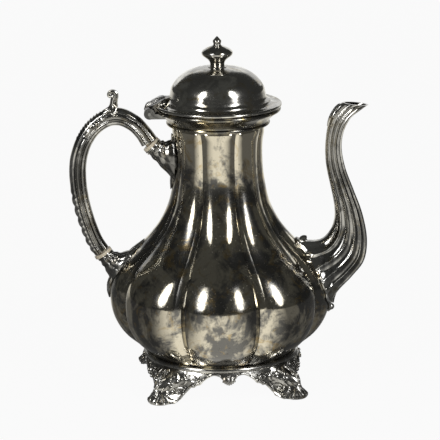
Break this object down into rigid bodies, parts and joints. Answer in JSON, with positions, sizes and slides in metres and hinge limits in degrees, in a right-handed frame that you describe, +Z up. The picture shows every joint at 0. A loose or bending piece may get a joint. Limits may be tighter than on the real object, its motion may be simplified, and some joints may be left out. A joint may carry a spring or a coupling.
{
  "type": "coffee pot",
  "caption": "Tarnished silver coffee pot with a lobed pear body, hinged domed lid, swan-neck spout, insulated scroll handle and cast scroll feet.",
  "frame": {"origin": "on the body's axis at floor level, under the middle of the pot", "axes": "+Z up, +X towards the spout, -X towards the handle and the lid's hinge, Y across the pot"},
  "size_m": [0.228, 0.17, 0.27],
  "materials": {
    "body_silver": "polished silver plate with grey-brown tarnish",
    "lid_silver": "polished silver plate, lightly tarnished",
    "spout_silver": "polished reeded silver plate, dark in the grooves",
    "handle_silver": "polished reeded silver plate, dark in the grooves",
    "cast_silver": "cast silver plate with dark recesses",
    "pin_silver": "plain silver, satin",
    "ivory": "aged ivory-coloured insulating disc, satin"
  },
  "bodies": {
    "pot": {"body_upper": "body_silver", "body_lower": "body_silver", "body_base": "body_silver", "neck_collar": "cast_silver", "foot_ring": "cast_silver", "apron_front": "cast_silver", "apron_right": "cast_silver", "apron_back": "cast_silver", "apron_left": "cast_silver", "foot_front_right": "cast_silver", "foot_back_right": "cast_silver", "foot_back_left": "cast_silver", "foot_front_left": "cast_silver", "spout_lower": "spout_silver", "spout_upper": "spout_silver", "handle_grip": "handle_silver", "thumb_scroll": "handle_silver", "upper_insulator": "ivory", "lower_insulator": "ivory", "upper_socket": "cast_silver", "lower_socket": "cast_silver", "handle_pins": "pin_silver", "hinge_bracket": "cast_silver", "hinge_pin": "pin_silver"},
    "lid": {"lid_dome": "lid_silver", "lid_flange": "lid_silver", "lid_bezel": "lid_silver", "lid_hinge_leaf": "cast_silver", "finial_base": "lid_silver", "finial": "lid_silver", "finial_nut": "pin_silver"}
  },
  "joints": [
    {"name": "lid_hinge", "type": "hinge", "parent": "pot", "child": "lid", "pos_m": [-0.0515, 0, 0.2136], "axis": [0, -1, 0], "range_deg": [0, 80]}
  ]
}
